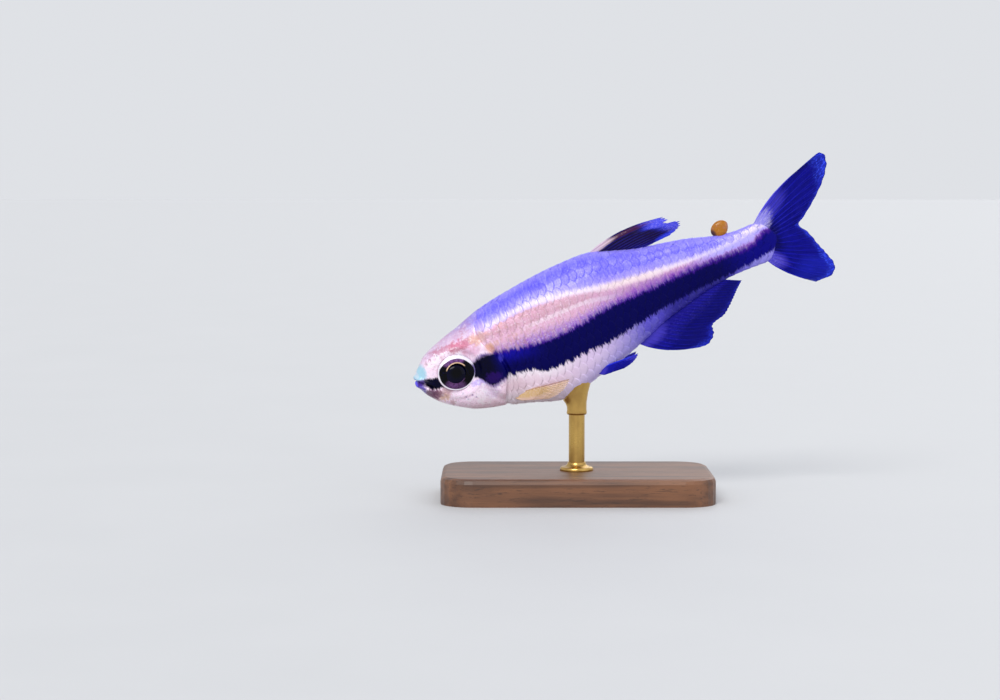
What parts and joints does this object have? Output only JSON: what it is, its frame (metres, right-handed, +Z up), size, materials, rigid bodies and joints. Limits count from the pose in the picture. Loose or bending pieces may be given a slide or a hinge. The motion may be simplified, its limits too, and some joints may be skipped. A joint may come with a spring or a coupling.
{
  "type": "royal tetra display model",
  "caption": "Still life-size royal tetra, an adult female swimming nose down with folded fins, on a rod and a small flat base.",
  "frame": {"origin": "On the plane that the base stands on, under the middle of the whole model's length and width", "axes": "+Z up, -X the way the fish faces, -Y the fish's left side, which the picture shows"},
  "size_m": [0.0342, 0.013, 0.028],
  "materials": {
    "skin": "wet scaled skin, violet back, pale belly and a dark blue band",
    "eye": "wet black pupil in a dark iris with a pale ring",
    "fin": "thin blue membrane over fine rays",
    "pectoral": "clear yellowish membrane over fine rays",
    "adipose": "soft orange flesh",
    "stand_wood": "dark satin wood",
    "stand_metal": "brushed brass colour"
  },
  "bodies": {
    "root": {"head": "skin", "lower_jaw": "skin", "gill_cover_left": "skin", "gill_cover_right": "skin", "trunk": "skin", "caudal_peduncle": "skin", "eye_left": "eye", "eye_right": "eye", "dorsal_fin": "fin", "adipose_fin": "adipose", "caudal_fin": "fin", "anal_fin": "fin", "pectoral_fin_left": "pectoral", "pectoral_fin_right": "pectoral", "pelvic_fin_left": "fin", "pelvic_fin_right": "fin", "stand_base": "stand_wood", "stand_rod": "stand_metal"}
  },
  "joints": []
}
